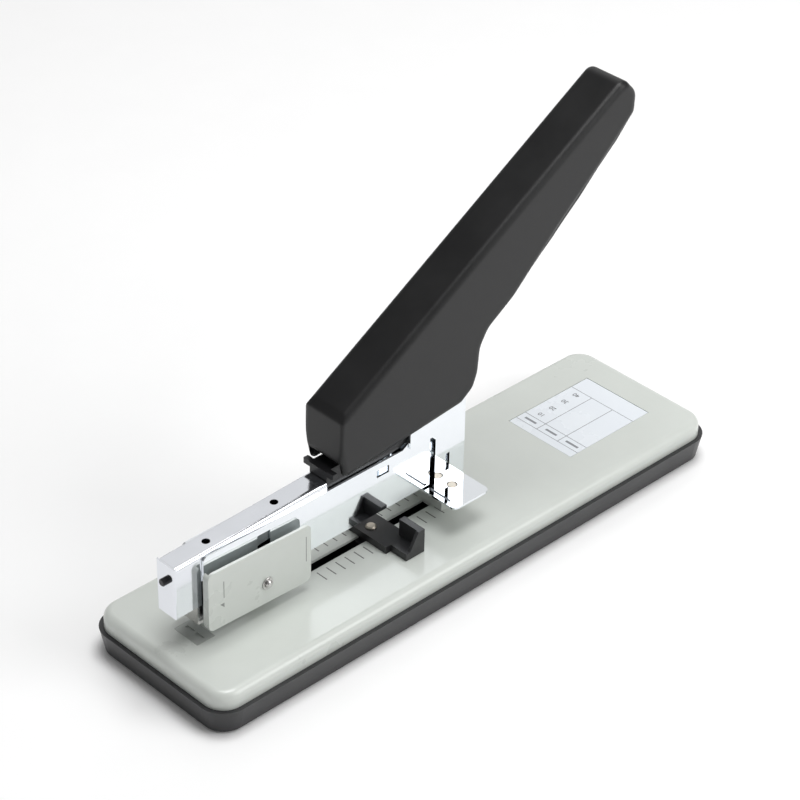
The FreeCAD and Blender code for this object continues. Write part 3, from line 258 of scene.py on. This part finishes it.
def make_slot_scale():
    """Grey ticks on both sides of the paper guide's slot."""
    group, _, out = new_group("slot_scale", [], [("Mask", NUMBER)])
    _, (x, y, z) = object_place(group)
    steps = math_node(group, "DIVIDE", math_node(group, "SUBTRACT", x, TICK_START), TICK_PITCH)
    whole = math_node(group, "ROUND", steps)
    off = math_node(group, "ABSOLUTE", math_node(group, "SUBTRACT", steps, whole))
    tick = math_node(group, "LESS_THAN", off, TICK_WIDTH / 2 / TICK_PITCH)
    near = box_mask(group, x, y, TICKS_ALONG + TICKS_NEAR)
    far = box_mask(group, x, y, TICKS_ALONG + TICKS_FAR)
    top = math_node(group, "GREATER_THAN", z, TICKS_ABOVE)
    rows = math_node(group, "MULTIPLY", tick, either(group, [near, far]))
    group.links.new(math_node(group, "MULTIPLY", rows, top), out.inputs["Mask"])
    return group


slot_scale = make_slot_scale()
tick_count = round((TICKS_ALONG[1] - TICKS_ALONG[0]) / TICK_PITCH)
print("group:", slot_scale.name, "with", tick_count, "ticks a side")

# %% [markdown]
# ## The label's ruled table
# The label is a small table. Three lines cross it, two more join them and divide the table in
# three, and each third has a plain bar for its heading. A label is usually an image, but marks
# this plain are only narrow rectangles, so a list of places, in millimetres, draws them all.

# %% Table group
LINES_ACROSS = (77.2, 82.8, 111.8)
LINES_ALONG = (-6.2, 6.0)
TABLE_HALF = 17.9
LINE_HALF = 0.16
HEADING = (79.4, 80.6)
HEADING_BARS = ((-15.6, -8.6), (-3.2, 3.2), (8.8, 15.4))


def make_ruled_table():
    """Thin ruled lines and plain bars on the label."""
    group, _, out = new_group("ruled_table", [], [("Mask", NUMBER)])
    _, (x, y, _z) = object_place(group)
    boxes = [(at - LINE_HALF, at + LINE_HALF, -TABLE_HALF, TABLE_HALF) for at in LINES_ACROSS]
    first, last = LINES_ACROSS[0], LINES_ACROSS[-1]
    boxes += [(first, last, at - LINE_HALF, at + LINE_HALF) for at in LINES_ALONG]
    boxes += [(*HEADING, *bar) for bar in HEADING_BARS]
    masks = [box_mask(group, x, y, in_metres(*box)) for box in boxes]
    group.links.new(either(group, masks), out.inputs["Mask"])
    return group


ruled_table = make_ruled_table()
print("group:", ruled_table.name)

# %% [markdown]
# ## The clamp's gauge marks
# Each clamp plate has two upright scored lines, one near each end, and a small triangle below
# the front one. Their dark grey is painted shade in the scores. A slanted cut leaves a triangle
# of a box, so the triangle's mask is a box and one limit on the sum of the two distances from
# its corner.

# %% Gauge marks group
FRONT_SCORE = in_metres(-112.15, -111.7, 38.0, 46.0)
REAR_SCORE = in_metres(-70.05, -69.65, 33.6, 45.6)
TRIANGLE_BOX = in_metres(-114.0, -111.8, 33.0, 35.8)
TRIANGLE_CUT = 2.8 * MM


def make_gauge_marks():
    """Two upright scored lines and a small triangle on the clamp's plates."""
    group, _, out = new_group("gauge_marks", [], [("Mask", NUMBER)])
    _, (x, _y, z) = object_place(group)
    front = box_mask(group, x, z, FRONT_SCORE)
    rear = box_mask(group, x, z, REAR_SCORE)
    box = box_mask(group, x, z, TRIANGLE_BOX)
    rise = math_node(group, "SUBTRACT", z, TRIANGLE_BOX[2])
    run = math_node(group, "SUBTRACT", x, TRIANGLE_BOX[0])
    cut = math_node(group, "GREATER_THAN", math_node(group, "ADD", rise, run), TRIANGLE_CUT)
    triangle = math_node(group, "MULTIPLY", box, cut)
    group.links.new(either(group, [front, rear, triangle]), out.inputs["Mask"])
    return group


gauge_marks = make_gauge_marks()
print("group:", gauge_marks.name)

# %% [markdown]
# ## What every finish has in common
# A finish is one Principled shader. Its colour and its roughness each lie between two values,
# and the soft patches choose where. Its normal comes from a relief group, the grain unless a
# finish asks for the drawn lines. A low roughness, not a lighter colour, is what makes a
# surface look polished. The finishes are kept by name, ready for the pieces.

# %% Base of a finish


def mix_colours(tree, share, ink):
    """A colour mix that goes over to ink as a 0 to 1 share rises. Input A is the other colour."""
    mix = tree.nodes.new("ShaderNodeMix")
    mix.data_type = "RGBA"
    mix.inputs["B"].default_value = (*ink, 1.0)
    tree.links.new(share, mix.inputs["Factor"])
    return mix


def surface(name, dark, light, gloss, metal=0.0, relief=None, **relief_values):
    """A Principled material whose colour and roughness move with soft patches."""
    material = bpy.data.materials.new(name)
    material.use_nodes = True
    tree = material.node_tree
    tree.nodes.clear()
    output = tree.nodes.new("ShaderNodeOutputMaterial")
    shader = add(tree, "ShaderNodeBsdfPrincipled", Metallic=metal)
    tree.links.new(shader.outputs["BSDF"], output.inputs["Surface"])
    patches = use_group(tree, soft_patches)
    colour = mix_colours(tree, patches.outputs["Value"], light)
    colour.inputs["A"].default_value = (*dark, 1.0)
    tree.links.new(colour.outputs["Result"], shader.inputs["Base Color"])
    rough = add(tree, "ShaderNodeMapRange", To_Min=gloss[0], To_Max=gloss[1])
    tree.links.new(patches.outputs["Value"], rough.inputs["Value"])
    tree.links.new(rough.outputs["Result"], shader.inputs["Roughness"])
    texture = use_group(tree, relief or grain, **relief_values)
    tree.links.new(texture.outputs["Normal"], shader.inputs["Normal"])
    return material, tree, shader


def plain_name(material):
    """A material's name without the number that Blender adds where a name is taken."""
    return material.name.split(".")[0]


def keep(*materials):
    """Files finishes under their plain names, which are the names of the CAD's slots."""
    for material in materials:
        finishes[plain_name(material)] = material
        print("finish:", plain_name(material))


finishes = {}

# %% [markdown]
# ## Sprayed paint with printed marks and painted groove shade
# The cover, the riser and the clamp are steel under pale grey-green paint. Sprayed paint has
# two layers of shine: the paint itself and a clear film on it. The shader's Coat gives that
# film without a second material. A mark is one more colour mix, steered by a mask group, so the
# cover and the clamp get the same paint with their own marks. The cover gets printed ticks, and
# the clamp's scored lines get dark grey, which is painted shade in the grooves.

# %% Pale paint
PAINT_MARKS = (0.12, 0.12, 0.12)
# Dark grey of the clamp's scored lines: painted shade in the grooves, not ink.
GROOVE_SHADE_GREY = (0.22, 0.23, 0.22)


def print_on(tree, shader, group, ink):
    """Lays a colour over a material wherever a group's mask is 1: ink, and on the clamp painted
    groove shade.
    """
    mask = use_group(tree, group)
    under = shader.inputs["Base Color"].links[0].from_socket
    printed = mix_colours(tree, mask.outputs["Mask"], ink)
    tree.links.new(under, printed.inputs["A"])
    tree.links.new(printed.outputs["Result"], shader.inputs["Base Color"])


def pale_paint(name, marks=None, ink=PAINT_MARKS):
    """Sprayed grey-green paint under a thin clear coat. Printed marks, and on the clamp painted
    groove shade, are laid over it.
    """
    material, tree, shader = surface(
        name, dark=(0.585, 0.615, 0.580), light=(0.620, 0.650, 0.615), gloss=(0.26, 0.36),
        Scale=420.0, Depth=0.10)
    shader.inputs["Coat Weight"].default_value = 0.35
    shader.inputs["Coat Roughness"].default_value = 0.12
    if marks:
        print_on(tree, shader, marks, ink)
    return material


cover_paint = pale_paint("cover_paint", slot_scale)
# The clamp's marks get dark grey as painted shade in their scored grooves.
clamp_paint_and_groove_shade = pale_paint("clamp_paint_and_groove_shade", gauge_marks, GROOVE_SHADE_GREY)
keep(pale_paint("pale_paint"))
print("marked paints:", cover_paint.name, clamp_paint_and_groove_shade.name)

# %% [markdown]
# ## Black mouldings and rubber
# Black plastic is never pure black: it mirrors a little of the bright room, more where it is
# polished. One black for all would be simpler, but the pieces would melt into one form. So the
# tray, the guide and the follower share a moulded finish, the grip is duller than the shell,
# and the rubber feet are the dullest of all.

# %% Plastics and rubber


def black_moulding():
    """Black moulded plastic of the tray, the guide and the follower."""
    return surface(
        "black_moulding", dark=(0.014, 0.014, 0.015), light=(0.022, 0.022, 0.024),
        gloss=(0.30, 0.44), Scale=1500.0, Depth=0.25)[0]


def grip_plastic():
    """Slightly duller, softer plastic of the grip insert."""
    return surface(
        "grip_plastic", dark=(0.010, 0.010, 0.010), light=(0.016, 0.016, 0.016),
        gloss=(0.45, 0.60), Scale=2400.0, Depth=0.45)[0]


def foot_rubber():
    """Matt black rubber."""
    return surface(
        "foot_rubber", dark=(0.010, 0.010, 0.010), light=(0.018, 0.018, 0.018),
        gloss=(0.75, 0.90), Scale=1200.0, Depth=0.6)[0]


keep(black_moulding(), grip_plastic(), foot_rubber())

# %% [markdown]
# ## The handle's shell
# The handle is one large moulding with generously rounded edges, and the solid's edges are
# sharper than that. A Bevel modifier would round them by changing the piece, which is fixed. A
# Bevel node only bends the normals near each edge, so the light rolls round it.

# %% Handle plastic
HANDLE_EDGE = 2.4 * MM
EDGE_SAMPLES = 6


def soften_edges(tree, shader, radius):
    """Rounds a moulding's edges in the shading, under the grain that is already there."""
    texture = shader.inputs["Normal"].links[0].from_node
    rounded = add(tree, "ShaderNodeBevel", Radius=radius)
    rounded.samples = EDGE_SAMPLES
    depth = texture.inputs["Depth"].default_value
    bump = add(tree, "ShaderNodeBump", Strength=depth, Distance=GRAIN_HEIGHT)
    tree.links.new(texture.outputs["Value"], bump.inputs["Height"])
    tree.links.new(rounded.outputs["Normal"], bump.inputs["Normal"])
    tree.links.new(bump.outputs["Normal"], shader.inputs["Normal"])


def handle_plastic():
    """Smooth black plastic of the handle's shell."""
    material, tree, shader = surface(
        "handle_plastic", dark=(0.0060, 0.0060, 0.0065), light=(0.0095, 0.0095, 0.0100),
        gloss=(0.28, 0.40), Scale=1800.0, Depth=0.18)
    shader.inputs["Specular IOR Level"].default_value = 0.36
    soften_edges(tree, shader, HANDLE_EDGE)
    return material


keep(handle_plastic())

# %% [markdown]
# ## Plated sheet
# The magazine and the bracket are zinc plated, and the channel above them is chromed. Both are
# almost mirrors: what they show is the base, the paper guide and the pale room. A light grey
# under a coat would look like paint. With Metallic at 1 the base colour only tints what is
# mirrored, and a low roughness keeps it sharp.

# %% Zinc and chrome


def zinc_plate():
    """Bright zinc-plated sheet with faint drawn lines."""
    return surface(
        "zinc_plate", dark=(0.80, 0.83, 0.86), light=(0.86, 0.89, 0.92), gloss=(0.04, 0.09),
        metal=1.0, relief=drawn_lines, Depth=0.06)[0]


def bright_plate():
    """Chrome of the driver channel, slightly darker than the zinc."""
    return surface(
        "bright_plate", dark=(0.74, 0.76, 0.80), light=(0.80, 0.82, 0.86), gloss=(0.07, 0.14),
        metal=1.0, relief=drawn_lines, Depth=0.04)[0]


keep(zinc_plate(), bright_plate())

# %% [markdown]
# ## Pins, rivets, the lever and the anvil
# The small metal pieces differ in how they were made. Turned pins and screws are bright, rivet
# heads are warmer and tarnished, and the lever and the front pin are blackened. The anvil is a
# darker grey and duller than the pins. One shared metal would be quicker, but it would make
# them look like one casting, so each has its own colour and gloss.

# %% Small metals


def screw_steel():
    """Turned steel of pins, screws, studs and washers."""
    return surface(
        "screw_steel", dark=(0.50, 0.49, 0.48), light=(0.62, 0.61, 0.60), gloss=(0.20, 0.34),
        metal=1.0, Scale=1500.0, Depth=0.15)[0]


def rivet_metal():
    """Warm, slightly tarnished rivet heads."""
    return surface(
        "rivet_metal", dark=(0.42, 0.38, 0.32), light=(0.58, 0.53, 0.46), gloss=(0.26, 0.42),
        metal=1.0, Scale=1300.0, Depth=0.3)[0]


def black_steel():
    """Blackened steel with a slight oil sheen."""
    return surface(
        "black_steel", dark=(0.012, 0.012, 0.013), light=(0.024, 0.024, 0.026),
        gloss=(0.24, 0.38), metal=0.3, Scale=1100.0, Depth=0.2)[0]


def anvil_steel():
    """Satin steel of the anvil, a darker grey and duller than the pins."""
    return surface(
        "anvil_steel", dark=(0.40, 0.42, 0.40), light=(0.48, 0.50, 0.48), gloss=(0.50, 0.62),
        metal=0.4, Scale=1400.0, Depth=0.2)[0]


dull_anvil = anvil_steel()
keep(screw_steel(), rivet_metal(), black_steel())

# %% [markdown]
# ## Label film and its print
# The label is bluish white plastic film with a light clear coat. The ruled table is printed on
# it by its mask. The plain numbers are raised meshes, so their ink is a finish of its own.

# %% Film and ink
RULED_INK = (0.22, 0.23, 0.25)


def label_film():
    """Bluish white film with a thin clear coat, a ruled table and plain bars."""
    material, tree, shader = surface(
        "label_film", dark=(0.76, 0.80, 0.85), light=(0.80, 0.84, 0.88), gloss=(0.20, 0.30),
        Scale=700.0, Depth=0.05)
    shader.inputs["Coat Weight"].default_value = 0.3
    print_on(tree, shader, ruled_table, RULED_INK)
    return material


def label_ink():
    """Dark grey print of the plain numbers."""
    return surface(
        "label_ink", dark=(0.045, 0.047, 0.052), light=(0.060, 0.062, 0.068),
        gloss=(0.35, 0.50), Scale=2000.0, Depth=0.1)[0]


number_ink = label_ink()
keep(label_film())
print("ink of the numbers:", number_ink.name)

# %% [markdown]
# ## Finishes to pieces
# Each CAD node carries the material slot that the record names for it. Slots are a quick way
# to dress many pieces at once: the slot's name picks the finish. Three nodes then get a
# special one. No CAD mesh is touched.

# %% Dress the CAD nodes
for obj in nodes.values():
    for slot in obj.material_slots:
        slot.material = finishes[plain_name(slot.material)]
special_finishes = {"base_cover": cover_paint, "clamp_foot": clamp_paint_and_groove_shade, "anvil": dull_anvil}
for name, material in special_finishes.items():
    nodes[name].material_slots[0].material = material
print("dressed", len(nodes), "nodes,", len(special_finishes), "of them with a special finish")

# %% [markdown]
# ## Plain numbers on the label
# Four plain numbers stand in the last third of the table. Digits are hard to draw as masks, so
# each is a text object. It becomes a mesh first and its place is applied after that, because a
# text object can't hold its place in its points. It lies on the film and rides on the base.

# %% Label numbers
# Each number's place along the base, in millimetres, and its text.
NUMBER_PLACES = ((86.6, "10"), (93.6, "20"), (101.2, "30"), (108.4, "40"))
NUMBER_ROW = 12.0 * MM
NUMBER_SIZE = 3.2 * MM
NUMBER_THICK = 0.02 * MM
QUARTER_TURN = math.pi / 2


def label_number(text, x, y, ink):
    """One raised number, reading along +Y with its top towards the front."""
    bpy.ops.object.select_all(action="DESELECT")
    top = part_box("label_plate")[1].z
    place = (x, y, top + NUMBER_THICK)
    bpy.ops.object.text_add(location=place, rotation=(0, 0, QUARTER_TURN))
    written = bpy.context.object
    written.data.body = text
    written.data.size = NUMBER_SIZE
    written.data.align_x = "CENTER"
    written.data.align_y = "CENTER"
    written.data.extrude = NUMBER_THICK / 2
    bpy.ops.object.convert(target="MESH")
    bpy.ops.object.transform_apply(location=True, rotation=True, scale=True)
    made = bpy.context.object
    made.name = "label_number_" + text
    made.data.materials.clear()
    made.data.materials.append(ink)
    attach(made, "base")
    return made


for along, text in NUMBER_PLACES:
    number = label_number(text, along * MM, NUMBER_ROW, number_ink)
    print(number.name, "has", len(number.data.polygons), "faces")

# %% [markdown]
# ## Floor
# The photograph's ground is almost white, with a soft shadow under the base. Studios curve it
# up behind the object to hide its far edge. This camera looks down, so a plain plane with a
# matt finish is enough.

# %% Pale floor
FLOOR_WIDTH = 12


def pale_floor():
    """Plain pale floor, far wider than the view."""
    bpy.ops.object.select_all(action="DESELECT")
    bpy.ops.mesh.primitive_plane_add(size=FLOOR_WIDTH, location=(0, 0, 0))
    floor = bpy.context.object
    floor.name = "floor"
    paper = surface(
        "floor_paper", dark=(0.965, 0.965, 0.965), light=(0.975, 0.975, 0.975),
        gloss=(0.7, 0.8))[0]
    floor.data.materials.append(paper)
    return floor


print("stage:", pale_floor().name, FLOOR_WIDTH, "m wide")

# %% [markdown]
# ## Light
# Product photographs use large soft boxes. A small bright lamp would give hard shadows and
# burnt spots on the chrome. The overhead box lights the cover, the near one the machine's
# side, and the far one is wide and dim, because the channel's top and the cover mirror it.

# %% Soft boxes and sky
SKY_STRENGTH = 0.30
SOFT_BOXES = {
    "overhead": {"place": (0.15, -0.05, 1.5), "aim": (0, 0, 0.03), "width": 0.8, "watts": 14},
    "near_side": {"place": (0.6, -1.1, 0.8), "aim": (0.02, 0, 0.06), "width": 0.8, "watts": 8},
    "far_corner": {"place": (1.3, 1.3, 1.25), "aim": (0.05, 0, 0.02), "width": 2.0, "watts": 7},
}


def soft_box(name, place, aim, width, watts):
    """A square area light that faces a point."""
    light = bpy.data.lights.new(name, "AREA")
    light.size = width
    light.energy = watts
    lamp = bpy.data.objects.new(name, light)
    bpy.context.scene.collection.objects.link(lamp)
    lamp.location = place
    # An area light shines along its own -Z, so its +Z is turned away from the aim.
    from_aim = lamp.location - type(lamp.location)(aim)
    lamp.rotation_euler = from_aim.to_track_quat("Z", "Y").to_euler()


def sky(strength):
    """Even white light from all round."""
    world = bpy.data.worlds.new("studio")
    world.use_nodes = True
    background = world.node_tree.nodes["Background"]
    background.inputs["Color"].default_value = (1, 1, 1, 1)
    background.inputs["Strength"].default_value = strength
    bpy.context.scene.world = world


for name, box in SOFT_BOXES.items():
    soft_box(name, **box)
    print("light:", name, box["watts"], "W,", box["width"], "m wide")
sky(SKY_STRENGTH)
bpy.context.scene.view_settings.view_transform = "Standard"

# %% [markdown]
# ## Camera
# The camera stands where the photograph's stood. It could be placed by eye, but its place,
# turn and lens come from fitting the base's straight edges, so the render and the photograph
# can be laid over each other. A long lens this far off keeps the edges nearly parallel.

# %% Photograph's camera
CAMERA_PLACE = (-0.64063, -0.64286, 0.69186)
CAMERA_TURN = (55.671, -0.947, -43.778)
CAMERA_LENS = 124.14
SENSOR_WIDTH = 36.0


def photo_camera():
    """A camera with the photograph's view of the machine."""
    camera = bpy.data.cameras.new("camera")
    camera.sensor_width = SENSOR_WIDTH
    camera.lens = CAMERA_LENS
    camera.dof.use_dof = False
    viewer = bpy.data.objects.new("camera", camera)
    bpy.context.scene.collection.objects.link(viewer)
    viewer.location = CAMERA_PLACE
    viewer.rotation_euler = [math.radians(angle) for angle in CAMERA_TURN]
    bpy.context.scene.camera = viewer
    return viewer


viewer = photo_camera()
print("camera stands", round(math.dist(viewer.location, (0, 0, 0)), 2), "m from the base's middle")
